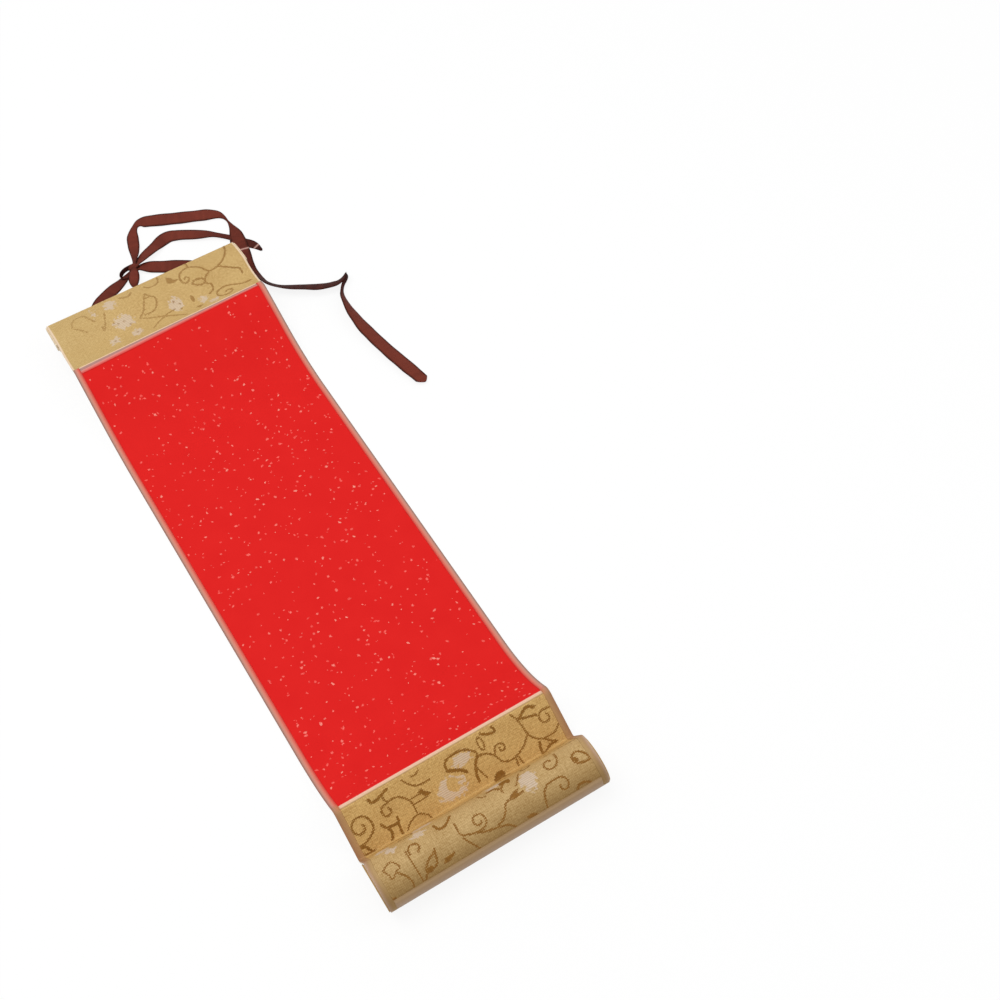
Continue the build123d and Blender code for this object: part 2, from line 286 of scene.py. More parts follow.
longTie = {
    "rows": [(4.5, 37.6, 2.4, 40, 3, 0.4), (7.4, 43, 1.8, 30, 3.6, 0.4), (9.6, 47.8, 1.4, 18, 5.8, 0.55),
             (11.3, 53.4, 1, 8, 7.4, 0.7), (14.2, 62.4, 0.9, 0, 7.4, 0.75), (17, 67.4, 0.8, 0, 4.8, 0.7),
             (19.8, 70, 0.8, 0, 3.6, 0.65), (22.4, 70.9, 0.8, 0, 6.6, 0.68),
             (25.2, 70.4, 0.8, 0, 9.8, 0.72), (31, 67.9, 0.8, 0, 10, 0.75), (41.6, 62.8, 0.8, 0, 10, 0.75),
             (52.5, 57.9, 0.8, 0, 10, 0.8), (60.8, 54.2, 0.9, 0, 9.6, 0.8), (66.4, 50.8, 0.9, 0, 7, 0.75),
             (69, 46.6, 0.9, 0, 2.6, 0.6), (69.6, 42.6, 0.9, 0, 1, 0.4), (69.8, 37.4, 0.9, 0, 3.2, 0.5),
             (69.4, 30.5, 0.9, 0, 7.8, 0.6), (67.8, 24, 0.9, 0, 10, 0.6), (66.6, 18, 0.9, 0, 10, 0.55),
             (65.3, 11, 0.9, 0, 9.6, 0.5), (63.8, 3.5, 0.9, 0, 8.5, 0.5), (63.2, -4, 1, 15, 8, 0.4),
             (64.2, -10, 2.6, 40, 8, 0.3), (65.5, -16.4, 3.8, 52, 9, 0.15), (68, -21.8, 3.6, 46, 9.5, 0.1),
             (73.9, -27.4, 3, 36, 10, 0.1), (83.4, -33.1, 2.7, 31, 10, 0.15),
             (92.9, -39, 2.6, 29, 10, 0.2), (101.8, -41.6, 2.6, 31, 9.5, 0.15),
             (107, -39.8, 2.6, 44, 7, 0.1), (110.6, -36.6, 2.4, 66, 4.5, 0.05),
             (109.6, -39.8, 2.2, 74, 3.6, 0.05), (104.8, -43.4, 2.2, 74, 3.2, 0.1),
             (101.2, -48.6, 2.6, 70, 4.2, 0.25), (99, -57, 3.6, 57, 9, 0.5), (98.2, -68.6, 3, 40, 10, 0.7),
             (99.2, -82, 2.4, 25, 10, 0.78), (102.1, -100, 2, 20, 10, 0.78),
             (105.7, -116.6, 1.8, 18, 10, 0.78), (109.6, -133.8, 1.5, 15, 8.8, 0.75)],
    "highlightedCreases": [(67, 15.4)],
    "soften": 1.2, "ripple": 0.2, "point": 3.4, "cup": 0.3,
}
long, longLine, longLength = makeRibbon("longTieRibbon", longTie, ["long_tie_ribbon"])

shortTie = {
    "rows": [(5, 38.2, 2, 35, 5, 0.55), (10.3, 40.8, 1.5, 25, 8.5, 0.7), (15.5, 43.8, 1.1, 20, 9.5, 0.72),
             (23, 47.2, 0.9, 10, 9, 0.7), (29, 50, 0.8, -5, 9, 0.55), (33.8, 50.6, 0.8, -4, 9.5, 0.8),
             (39.2, 48, 0.7, 8, 9.5, 0.78), (47.2, 42.9, 0.7, 8, 9.5, 0.75),
             (53.2, 39.2, 0.6, 14, 8.2, 0.6), (57.6, 35.8, 0.5, 20, 6, 0.45),
             (61.8, 32, 0.4, 18, 4.8, 0.4), (66, 27.6, 0.4, 10, 5, 0.4), (70, 21.6, 0.4, 0, 6, 0.3),
             (73.6, 17.2, 0.4, 0, 6.5, 0.3), (75.8, 12.8, 0.4, 0, 4, 0.2), (76.8, 8.8, 0.4, 0, 1.5, 0)],
    "highlightedCreases": [(75.2, 13.6)],
    "soften": 1.8, "ripple": 0.2, "point": 1.0, "cup": 0.2,
}
short, shortLine, shortLength = makeRibbon("shortTieRibbon", shortTie, ["short_tie_ribbon"])
print("ribbons", round(hangingLength, 1), round(longLength, 1), round(shortLength, 1), "mm long")


# the knot is a band wound round the crossing, a ring path whose radius grows with the turn, with a small
# open loop standing beside it and a rounded lobe of ribbon below it
knotValues = {
    "place": (4.4, 37.0), "turn": 35, "size": (3.0, 1.9), "grow": (0.88, 0.1), "lowest": 0.5,
    # the band's tone is painted shade, as in a ribbon's rows; the ring's low tones are painted shade too
    "band": 4.4, "thickness": 0.7, "turns": 1.4, "steps": 130, "points": 13, "tone": 0.6,
    "slide": 0.7, "crumple": 0.25, "droop": 0.6,  # how far the band slides, creases and bends at its edges
    "ring": {
        "rows": [(3.8, 38.6, 2.6, 62, 3.2, 0.3), (0.9, 38.9, 2.4, 66, 3, 0.1),
                 (-1.8, 38.4, 2.4, 68, 3, 0.05), (-4.6, 36.6, 2.3, 70, 3.2, 0.05),
                 (-5.8, 34, 2.2, 68, 3.2, 0.05), (-4.2, 31.8, 1.8, 50, 3.4, 0.1),
                 (-0.5, 32.6, 1.6, 30, 4, 0.2)],
        "soften": 1.0, "ripple": 0.0, "point": 0.0, "cup": 0.1,
    },
    "lobe": {
        "rows": [(4.2, 36.6, 3, 10, 3, 0.4), (3.2, 33.4, 3.8, 6, 4.6, 0.5), (1.8, 30.4, 4.2, 0, 6.6, 0.75),
                 (0.2, 27.4, 3.6, 0, 7, 0.8), (-1, 24.9, 2, 0, 5.2, 0.65), (-1.4, 23.8, 1, 0, 3, 0.4)],
        "soften": 1.0, "ripple": 0.0, "point": 0.6, "cup": 1.1,
    },
}


def makeKnot(values):
    angle = np.linspace(0, 2 * math.pi * values["turns"], values["steps"])
    firstSize, growth = values["grow"]
    grow = firstSize + growth * angle / angle[-1]
    out = values["size"][0] * grow * np.cos(angle)
    high = values["lowest"] + values["size"][1] * (1 + grow * np.sin(angle))
    slide = values["slide"] * np.sin(angle * 0.7 + 0.4)
    outward = circle(angle)
    radial = circle(math.radians(values["turn"]))
    axis = np.array([-radial[1], radial[0]])
    loop, depth = bandSection(values["points"], values["thickness"])
    crumple = values["crumple"] * np.sin(3.0 * loop + 2.2 * angle[:, None])
    lift = crumple - values["droop"] * np.abs(loop) ** 3 + depth
    shift = slide[:, None] + 0.5 * values["band"] * loop
    flat = (out[:, None] + lift * outward[:, :1])[..., None] * radial + shift[..., None] * axis
    tall = np.maximum(high[:, None] + lift * outward[:, 1:], ribbonBand["gap"])
    middle = np.array(values["place"]) + (0, stickMiddle)
    points = np.concatenate([flat + middle, tall[..., None]], axis=2).reshape(-1, 3)
    count, ring = tall.shape
    faces = tubeFaces(count, ring)
    facts = {"across": np.tile(loop, count), "along": np.repeat(angle * 4, ring),
             "tone": np.full(count * ring, values["tone"]), "crease": np.zeros(count * ring)}
    for part in (values["ring"], values["lobe"]):
        more, sides, details = ribbonShape(part)[:3]
        faces += [[i + len(points) for i in side] for side in sides]
        points = np.vstack([points, more])
        facts = {key: np.r_[facts[key], details[key]] for key in facts}
    return addPiece("ribbonKnot", points, faces, satin, facts, ["ribbon_knot"])


knot = makeKnot(knotValues)


# the sheet: corners of its back line from the pocket's flap over the stick and both ridges to the crease
sheet = {
    "halfWidth": 60.0, "sideStrip": 3.5, "upperStrip": 4.2, "lowerStrip": 1.7,
    "corners": [(176.35, 16.4), (184.35, 19.2), (184.35, 14), (202.35, 14), (202.35, 17), (192.35, 19.5),
                (185.6, 19.8), (172.0, 15.2), (158.75, 20.8), (112.15, 0), (-128.85, 0), (-148.85, 17.3),
                (-171.85, 3.2)],
    "radii": [0, 2.0, 1.2, 1.2, 1.2, 40, 6, 25, 3, 104, 60, 3, 2],
    "wrapEnd": 330.0, "hem": (152.0, 250.0),
    "joinRise": 1.4, "joinTilt": 0.0272, "lowerDrop": -0.4,  # how the pasted joins miss the two ridges
    "joinFade": 15.0,  # how far from a join the rows are straight again
    "skew": -0.089, "skewRun": 10.0,  # the roll is wound askew, so its ends lean by this share of height
    "backing": (0.0, 0.4), "panel": (0.4, 0.8), "strip": (0.8, 1.0),  # heights over the back line
    "edge": 0.06, "trim": 0.1,  # how far a layer's long edges dip, and how far its ends stop short
}


# the sheet's back line: straight runs between corners with arcs at them, then an arc round the roller
def backLine(values, arcPoints=25, wrapStep=0.5):
    toCrease = np.array(values["corners"][-1]) - rollAxis
    touch = math.atan2(toCrease[1], toCrease[0]) + math.acos(rollRadius / np.linalg.norm(toCrease))
    turn = np.arange(touch, math.radians(values["wrapEnd"]), math.radians(wrapStep))
    wrap = rollAxis + rollRadius * circle(turn)
    corners = np.vstack([values["corners"], wrap[:1]])
    line = [corners[:1]]
    marks = []
    for before, corner, after, radius in zip(corners[:-2], corners[1:-1], corners[2:], values["radii"][1:]):
        back = unit(before - corner)
        onward = unit(after - corner)
        half = 0.5 * math.acos(float(np.clip(back @ onward, -1, 1)))
        middle = corner + unit(back + onward) * radius / math.sin(half)
        first = corner + back * radius / math.tan(half) - middle
        last = corner + onward * radius / math.tan(half) - middle
        begin = math.atan2(first[1], first[0])
        sweep = (math.atan2(last[1], last[0]) - begin + math.pi) % (2 * math.pi) - math.pi
        line.append(middle + radius * circle(begin + np.linspace(0, sweep, arcPoints)))
        marks.append(sum(len(part) for part in line) - arcPoints // 2 - 1)  # the middle of the arc
    marks.append(sum(len(part) for part in line))
    line = np.vstack([*line, wrap])
    run = lengthAlong(line)
    return line, run, run[marks], touch


sheetLine, sheetRun, sheetMarks, touchTurn = backLine(sheet)
upperRidge, lowerRidge, rollStart = (sheetMarks[i] for i in (7, 10, 12))  # marks begin at the 2nd corner
sheetEnd = sheetRun[-1]
hemStart, hemEnd = (rollStart + rollRadius * (math.radians(angle) - touchTurn) for angle in sheet["hem"])
fineStep = 0.05
fineRun = np.arange(0, sheetEnd, fineStep)
fineLine = np.stack([np.interp(fineRun, sheetRun, sheetLine[:, i]) for i in range(2)], axis=1)
fineAhead = unit(np.gradient(fineLine, axis=0))
print("sheet line", round(upperRidge, 1), round(lowerRidge, 1), round(rollStart, 1), round(sheetEnd, 1))


def onSheet(x, s, lift):  # a point of the sheet: the back line at s, moved outward by lift, at x across
    y, z, ay, az = (np.interp(s, fineRun, column) for column in (*fineLine.T, *fineAhead.T))
    high = z - lift * ay
    lean = sheet["skew"] * np.clip((s - rollStart) / sheet["skewRun"], 0, 1) * (high - rollAxis[1])
    return np.stack(np.broadcast_arrays(x + lean, y + lift * az, high), axis=-1)


def alongJoins(x, s):  # rows of s bent to follow the two joins, full at each join and fading from it
    nearUpper, nearLower = (
        np.exp(-((s - ridge) / sheet["joinFade"]) ** 2)[:, None] for ridge in (upperRidge, lowerRidge))
    upper = nearUpper * (sheet["joinRise"] + sheet["joinTilt"] * x)
    return s[:, None] - upper + nearLower * sheet["lowerDrop"]


# a layer is a closed shell: a grid of x and s on top, its two edges carried down to the layer below
def makeLayer(name, x, s, layer, material, replaced, values=None, relief=0.0):
    low, high = sheet[layer]
    tall, wide = s.shape
    dip = (np.minimum(np.minimum(np.arange(wide), np.arange(wide)[::-1]), 1) - 1) * sheet["edge"]
    top = onSheet(x[None], s, high + dip + relief).reshape(-1, 3)
    bottom = onSheet(x[None, [0, -1]], s[:, [0, -1]], low).reshape(-1, 3)
    grid = np.arange(wide * tall).reshape(tall, wide)
    under = wide * tall + np.arange(2 * tall).reshape(tall, 2)
    strips = [
        (grid[:-1, :-1], grid[1:, :-1], grid[1:, 1:], grid[:-1, 1:]),
        (under[:-1, 0], under[:-1, 1], under[1:, 1], under[1:, 0]),
        (grid[:-1, 0], under[:-1, 0], under[1:, 0], grid[1:, 0]),
        (grid[1:, -1], under[1:, 1], under[:-1, 1], grid[:-1, -1]),
    ]
    quads = np.vstack([np.stack([part.ravel() for part in strip], axis=1) for strip in strips]).tolist()
    caps = [[under[0, 0], *grid[0], under[0, 1]], [under[-1, 1], *grid[-1][::-1], under[-1, 0]]]
    caps = [[int(i) for i in cap] for cap in caps]
    facts = {}
    for key, data in {"across": x, "along": s, **(values or {})}.items():
        data = np.broadcast_to(data, (tall, wide))
        facts[key] = np.r_[data.ravel(), data[:, [0, -1]].ravel()]
    return addPiece(name, np.vstack([top, bottom]), quads + caps, material, facts, replaced)


# the brocade's drawing, in millimetres: x across, s from the lower ridge down or from the upper ridge up;
# each vine is its line's width, its points, and where it ends in a curl the curl's centre, first and last
# radius, first and last angle; blooms, holes in them and dots are ovals; faint is the vines' strength at x
lowerDrawing = {
    "vines": [
        (1.4, [(-57.5, 20.2), (-52.5, 19.5)], (-52.2, 12.2, 6.4, 1.6, 50, -380)),
        (2, [(-56.4, 20.6), (-54, 21.6), (-52.6, 24.2)]),
        (2.2, [(-56.5, 24.5), (-53.5, 25), (-51, 25.2)]),
        (2, [(-43, 2.5), (-42, 4.5), (-39, 4.5), (-36, 3.5), (-33, 2.5)]),
        (1.3, [(-36.5, 5), (-36, 7), (-35, 8)]),
        (1.4, [(-35, 8)], (-37.2, 11.8, 3.4, 1.3, -75, -410)),
        (1.3, [(-35, 8), (-31, 8), (-28.5, 9.3), (-26.5, 11.5), (-25.2, 14), (-25.2, 19.5)]),
        (1, [(-25, 12.5), (-21, 12.3), (-17.5, 12)]),
        (1, [(-25, 15.3), (-21, 15.3), (-17.5, 15), (-15, 14.3)]),
        (1.8, [(-43, 16), (-41, 18.5), (-38, 19), (-35, 19), (-34.5, 16.5)]),
        (1.9, [(-40.5, 19.5), (-40, 22), (-41.5, 25)]),
        (1.8, [(-35.5, 19), (-35.8, 25)]),
        (1.2, [(-33, 25), (-31, 22.5), (-28, 21), (-25, 20.5), (-22, 22), (-20.5, 24), (-20, 26)]),
        (1.2, [(-24.5, 2.5), (-23, 5), (-20.5, 7.5), (-17, 8.7), (-12.5, 8.7)]),
        (1.2, [(-20, 3), (-17.5, 3.2), (-15.5, 2)]),
        (1.6, [(-3, 9.5), (-3, 7), (-1.5, 4.8), (2, 4), (6, 4), (9.5, 5), (12, 7), (13.5, 9), (13, 10.5)]),
        (2.4, [(-3, 9.5), (0, 11), (3, 12.5), (5, 14.5)]),
        (2, [(13, 10.5), (10.5, 13.5), (8.8, 18), (8.3, 21.5)]),
        (1.2, [(10.5, 16), (12.5, 22)]),
        (1.3, [(13, 11), (16, 11), (19.5, 13), (21.5, 16), (22.5, 18.5), (25, 20), (29, 20.3), (33, 19),
         (36.5, 17), (39, 14.5), (40.5, 13)]),
        (1.3, [(21, 14.5), (22.8, 11)], (25.4, 12.9, 2.4, 0.8, -100, 220)),
        (1.9, [(19.5, 2), (22, 3.5), (25.5, 4.5), (26.5, 3.5), (26, 1.8)]),
        (1.3, [(37, 1.5), (38.5, 4), (39.3, 7.5), (39.8, 10.5), (40.5, 14), (42.5, 17), (45, 18.7),
         (49, 19.5), (53, 19), (56, 17)]),
        (2, [(40, 5), (42, 3.5), (45, 2), (47, 2.3), (49, 3.3)]),
        (1.7, [(40.5, 5.3), (43, 6), (46, 6.8), (48.5, 7.5)]),
        (1.3, [(57, 7.5), (54, 7)], (52, 10.4, 3.6, 1.6, -95, -400)),
        (1.2, [(29.5, 20.5), (29, 25)]),
        (1.2, [(31, 21), (31.8, 25)]),
        (1.9, [(43.4, 20), (42.6, 23.5), (42.4, 27)]),
        (1.5, [(46.3, 19.4), (48.8, 21.8), (51.5, 23.3)]),
        (1.9, [(51.5, 23.4), (47.6, 23.6), (44.8, 25.4), (42.6, 27.2)]),
        (1, [(-54, 55.4), (-51.4, 54), (-49, 53.4), (-47, 55.4), (-46.4, 57.4), (-48.6, 58.2),
         (-50.6, 59.8), (-52.2, 60), (-52.6, 57.8), (-54, 55.4)]),
        (1.2, [(-48.4, 59.2), (-46.2, 61.6), (-44.7, 65.2), (-45.2, 68.7)]),
        (1.1, [(-40.7, 52.7), (-40.4, 60.2), (-40.2, 68.2)]),
        (1.4, [(-38.7, 68.2), (-37.2, 66.2), (-36.2, 63.7), (-33.7, 61.2), (-31.2, 60), (-29.2, 59.2)]),
        (1.4, [(-36.7, 65.7), (-32.7, 65.2), (-30.7, 64), (-29.7, 61.2), (-28.7, 58.2)]),
        (1.4, [(-39.4, 55), (-39.2, 52.6), (-37.2, 51), (-34.6, 51.8), (-34, 54), (-35.6, 55.6)]),
        (2, [(-23.7, 47.6), (-22.7, 50.7), (-20.2, 51.7), (-17.2, 50.2), (-15.2, 47.6)]),
        (1.2, [(-14.9, 53.2), (-14.9, 58.7), (-11.7, 60.4), (-7.7, 61.4)], (-4.6, 57.4, 4, 1.4, 95, -330)),
        (1.3, [(-7.7, 61.7), (-3.7, 63.2), (1.3, 64.2), (5.3, 65.2), (8.3, 67.2), (9.8, 69.7)]),
        (1.2, [(-14.7, 60.7), (-12.7, 64.2), (-10.7, 67.7), (-9.7, 70.2)]),
        (1.3, [(2.3, 63.7), (5.3, 62.6), (8.3, 60.2), (10.3, 57.2), (13.3, 56.5), (17.3, 56.7),
         (20.3, 56.2)]),
        (1.2, [(0.8, 44.6), (2.3, 47.6), (4.3, 48.3)]),
        (1.8, [(5.3, 46.1), (9.3, 46.6), (11.8, 49.1), (13.3, 48.1), (14.3, 46.1)]),
        (1, [(11.8, 49.1), (12.6, 52.2)]),
        (1.2, [(23.3, 45.6), (20.8, 50.2), (19.3, 52.2)]),
        (1.3, [(42.6, 46.6), (42.8, 50.2)], (38.2, 50.5, 4.2, 1.2, 20, 340)),
        (1.6, [(52.3, 52.7), (54.8, 54.7), (56.3, 58.7), (52.3, 58.7), (49.3, 57.2), (48.8, 54.2),
         (51.3, 52.7)]),
        (1.3, [(26.8, 69.2), (27.3, 65.7), (28.8, 61.7), (31.3, 59.5),
         (34.3, 58.9)], (38.3, 62.8, 3.9, 1.2, -95, 210)),
        (1.8, [(43.8, 68.2), (45.3, 66.7), (48.3, 66.9), (50.8, 68.5)]),
        (1.3, [(-50, 31), (-44, 29), (-38, 31), (-34, 36)], (-38, 39, 4.6, 1.4, -40, 330)),
        (1.3, [(-24, 30), (-18, 33), (-12, 39), (-5, 41), (2, 38), (6, 33)]),
        (1.3, [(14, 31), (18, 36), (24, 38)], (27, 42, 4.4, 1.3, -110, 240)),
        (1.3, [(36, 30), (41, 34), (47, 36), (54, 33)]),
        (1.3, [(38.3, 42.6), (44, 42), (50, 43), (55.3, 43.6)]),
        (1.1, [(17.3, 2.5), (18.4, 4), (18.7, 7), (17.3, 9.6), (16, 7), (16.2, 4), (17.3, 2.5)]),
    ],
    "leaves": [
        [(-21, 11), (-18, 10.5), (-17.5, 12), (-15, 14.3), (-18, 15), (-19, 13.5)],
        [(-28.2, 65.7), (-26.7, 64.2), (-23.7, 63.7), (-20.7, 63.4), (-22.7, 65.2), (-25.2, 66.2),
         (-27.7, 66.2)],
        [(13.8, 55.7), (16.3, 54.2), (19.3, 54.2), (17.8, 55.7), (19.8, 56.4), (17.3, 57.4), (14.3, 57)],
        [(-37.2, 64.7), (-34.2, 63.5), (-32.7, 65.2), (-35.2, 66.5)],
        [(15.3, 67.2), (19.3, 66.8), (21.8, 69.2), (18.3, 69.6)],
        [(12.5, 44), (15, 43.2), (17.5, 44), (18.3, 46.5), (17, 49), (15.5, 47), (13.5, 48.5),
         (12.6, 46.5)],
        [(49, 2.2), (50.2, 3.4), (48.6, 4.4), (47.4, 3.2)],
        [(49.3, 54.2), (51.1, 55.4), (50.6, 57.6), (49, 56.6)],
        [(-57.7, 66.2), (-54.2, 68.7), (-57.7, 69.7)],
        [(15, 27.5), (14.8, 25), (16.3, 23.2), (18.5, 21.8), (20.6, 22.4), (21.6, 24.4), (21, 26.2),
         (23, 27.2), (23.2, 29.4), (20.5, 28.8), (19, 27), (17.4, 29), (15.6, 29.4)],
    ],
    "blooms": [(-5, 18, 8, 6), (5.5, 8, 5.5, 3.5), (-46.7, 46.6, 3, 3),
              (-32.2, 46.6, 4, 3), (25.6, 52.8, 4.6, 5.8), (-28, 37, 6, 5),
              (10, 42, 5, 4), (-50, 40, 4, 5)],
    "holes": [(-3.5, 16.5, 3.2, 3.4)],
    "dots": [],
    "faint": [(-60, 1), (60, 1)],
    "vineWidth": 0.78,
}
upperDrawing = {
    "vines": [
        (1.1, [(-2, 33.5), (-4, 30), (-6, 26), (-8, 23), (-11.5, 20)]),
        (1.1, [(-2, 33.5), (0, 30), (2, 27.5), (1, 24), (-1, 21.5), (-4, 20.5), (-8, 20.5)]),
        (0.9, [(-4, 30), (0, 30)]),
        (1, [(-11, 19.5), (-6, 17), (0, 14.5), (5, 11.5), (9, 9)]),
        (1, [(8.5, 15.2), (4, 14.5), (0, 13), (-4, 11), (-8, 8)]),
        (1.2, [(20.5, 29), (20.3, 33), (22, 37), (25, 39), (28.5, 39.5), (32, 37), (34.5, 34.5), (36, 31),
         (37.5, 29), (41, 29), (44, 30), (48, 32.5), (51, 36), (53, 40), (54, 45)]),
        (1.1, [(43, 29.5), (47, 27), (51, 24.5), (54, 22.5), (54, 19)]),
        (1.1, [(28.5, 40), (28.5, 44)]),
        (1.1, [(20.5, 29), (22, 28), (24.5, 29), (25, 31), (23.5, 32), (22.2, 31)]),
        (1.1, [(37, 28.5), (34.5, 27), (33, 25.5), (31.5, 23.5), (28.5, 23.5), (26, 25), (25, 26.3),
         (28, 27.5), (31.5, 26.5), (32.5, 24.5)]),
        (1.1, [(32, 22.8), (34, 21.5), (34.5, 19), (33.5, 16.5), (31, 15.2)]),
        (1.1, [(56, 11), (50, 11.5), (46, 13.5), (42, 15), (38, 15), (35, 13.5), (34.3, 11), (36, 8.8),
         (39, 8), (42, 8.5), (43.5, 10.5), (41, 11.5), (39.3, 10.6)]),
        (1.1, [(0, 40), (1.5, 37.8), (4, 37), (7, 37.5), (9, 39.5), (9.5, 43)]),
        (1.5, [(-15.5, 40), (-13, 38.3), (-10.5, 38), (-8.5, 40)]),
        (1, [(10, 8.5), (12, 6.5)]),
        (1, [(-48, 33), (-46.5, 37), (-43, 39), (-39, 38), (-37, 34), (-35, 30)]),
        (1, [(-47, 31), (-45, 29), (-42, 26)]),
        (1, [(-33, 25), (-32.5, 22.5), (-30, 27), (-28, 33)]),
        (1.2, [(-50, 52), (-42, 55), (-36, 60)], (-40, 63, 4.6, 1.4, -40, 330)),
        (1.2, [(-20, 50), (-10, 55), (0, 56), (8, 62), (16, 60)]),
        (1.2, [(24, 52), (32, 55), (40, 62), (50, 60)]),
    ],
    "leaves": [
        [(14, 39.5), (16, 37), (17, 34.5), (19.5, 33.3), (17, 32), (14.5, 32.3), (12.5, 34), (13, 37)],
        [(19.2, 17), (20.4, 14), (21.8, 17), (20.6, 20)],
        [(19, 8.5), (21.5, 7.5), (24, 8.4), (21.5, 9.5)],
    ],
    "blooms": [(-20.5, 22, 6.5, 5), (-30.5, 12, 3.5, 3), (-17, 11, 4, 3), (10.5, 18, 4.5, 6),
              (26, 13, 3, 3), (31, 8, 4, 2), (-33.5, 36.5, 1.5, 3.5), (-23, 37.5, 4, 4.5),
              (-5, 62, 5, 4), (34, 68, 5, 4)],
    "holes": [],
    "dots": [(-26, 24, 0.7, 0.7), (-24, 22.5, 0.7, 0.7), (-20.5, 22.5, 0.8, 0.7), (-18, 19, 0.8, 0.7),
            (-30.5, 12, 0.9, 0.8), (-17, 11, 0.8, 0.7), (10, 20.5, 0.8, 0.8), (12.5, 17.5, 0.8, 0.8),
            (12, 13.5, 0.8, 0.8)],
    "faint": [(-60, 0.4), (-10, 0.5), (15, 0.65), (60, 0.75)],
    "vineWidth": 1.05,
}


reach = 3.0  # distances from the drawing are kept up to this


def segmentGap(px, ps, line):  # least distance from each point to a line of straight pieces
    start, step = line[:-1], np.diff(line, axis=0)
    dx = px[:, None] - start[:, 0]
    ds = ps[:, None] - start[:, 1]
    share = np.clip((dx * step[:, 0] + ds * step[:, 1]) / np.maximum((step**2).sum(1), 1e-9), 0, 1)
    return np.sqrt(((dx - share * step[:, 0]) ** 2 + (ds - share * step[:, 1]) ** 2).min(axis=1))


def insideLine(px, ps, line):  # true inside a closed line, by counting the sides crossed
    (x0, s0), (x1, s1) = line.T, np.roll(line, -1, axis=0).T
    cross = (s0 > ps[:, None]) != (s1 > ps[:, None])
    slope = np.where(s1 == s0, 1e-9, s1 - s0)
    return (cross & (px[:, None] < x0 + (ps[:, None] - s0) * (x1 - x0) / slope)).sum(axis=1) % 2 == 1


def drawField(px, ps, lines, closed):  # signed distance to the nearest line or leaf
    field = np.full(px.shape, reach)
    for width, line in lines:
        low, high = line.min(0) - reach - width, line.max(0) + reach + width
        near = (px > low[0]) & (px < high[0]) & (ps > low[1]) & (ps < high[1])
        if not near.any():
            continue
        gap = segmentGap(px[near], ps[near], np.vstack([line, line[:1]]) if closed else line) - 0.5 * width
        if closed:
            gap = np.where(insideLine(px[near], ps[near], line), -gap, gap)
        field[near] = np.minimum(field[near], gap)
    return field


def vineLine(points, curl=None, turnStep=25):  # a vine through its points and on round its curl
    if curl is not None:
        centreX, centreS, firstRadius, lastRadius, firstAngle, lastAngle = curl
        turns = int(abs(lastAngle - firstAngle) / turnStep) + 2
        radius = np.linspace(firstRadius, lastRadius, turns)[:, None]
        turned = (centreX, centreS) + radius * circle(np.radians(np.linspace(firstAngle, lastAngle, turns)))
        points = np.vstack([points, turned])
    return smoothCurve(points)


def ovalField(px, ps, ovals):  # signed distance to the nearest oval, near enough
    field = np.full(px.shape, reach)
    for centreX, centreS, halfX, halfS in ovals:
        far = np.sqrt(((px - centreX) / halfX) ** 2 + ((ps - centreS) / halfS) ** 2)
        field = np.minimum(field, (far - 1) * min(halfX, halfS))
    return field


brocadeValues = {
    "vineLift": 0.1, "vineSlope": 0.5, "bloomLift": 0.05, "bloomSlope": 0.6,  # relief and how wide it rises
    "across": 267, "lowerRows": 250, "upperRows": 170,
}


def brocadeFields(px, ps, drawing):  # the cloth's relief, and each point's distance from vines and blooms
    vines = [(drawing["vineWidth"] * width, vineLine(*line)) for width, *line in drawing["vines"]]
    leaves = [(0.0, smoothCurve([*leaf, leaf[0]])[:-1]) for leaf in drawing["leaves"]]
    vine = np.minimum(drawField(px, ps, vines, False), drawField(px, ps, leaves, True))
    vine = np.minimum(vine, ovalField(px, ps, drawing["dots"]))
    bloom = np.maximum(ovalField(px, ps, drawing["blooms"]), -ovalField(px, ps, drawing["holes"]))
    strength = np.interp(px, *np.array(drawing["faint"]).T)
    relief = brocadeValues["vineLift"] * np.clip(0.5 - vine / brocadeValues["vineSlope"], 0, 1)
    relief += brocadeValues["bloomLift"] * np.clip(0.5 - bloom / brocadeValues["bloomSlope"], 0, 1)
    return relief, {"vine": vine, "bloom": bloom, "strength": strength}


# a golden beige cloth with a coarse grain: brown gold vines with stitched edges over pale lilac ribbed
# blooms, a cream line at its cut edges; its ground is painted deeper and yellower in the valley before the
# roll and darker down the roll's front, painted shade and bounce light
brocade, add, across, along, vine, bloom, strength, depth = newMaterial(
    "silk brocade, jacquard woven", "across", "along", "vine", "bloom", "strength", "depth")
place = add("CombineXYZ", {"X": across, "Y": along})
warp, weft = (  # threads 0.9 and 1 mm apart, drawn about three times too coarse so that they show
    add("TexWave", {"Vector": place, "Scale": scale, "Distortion": 1.5, "Detail": 1.0}, "Fac",
        bands_direction=way) for scale, way in ((0.35, "X"), (0.31, "Y")))
grain, cloud, ragged = (  # spots about 1, 14 and 2 mm across
    add("TexNoise", {"Vector": place, "Scale": scale, "Detail": detail})
    for scale, detail in ((0.9, 3.0), (0.07, 2.0), (0.5, 3.0)))
cross = add("Math", {0: warp, 1: weft}, operation="MULTIPLY")
threads = add("Math", {0: cross, 1: 0.4, 2: -0.55}, operation="MULTIPLY_ADD")
clouded = add("Math", {0: cloud, 1: 0.5, 2: threads}, operation="MULTIPLY_ADD")
rough = add("Math", {0: grain, 1: 1.5, 2: clouded}, operation="MULTIPLY_ADD")
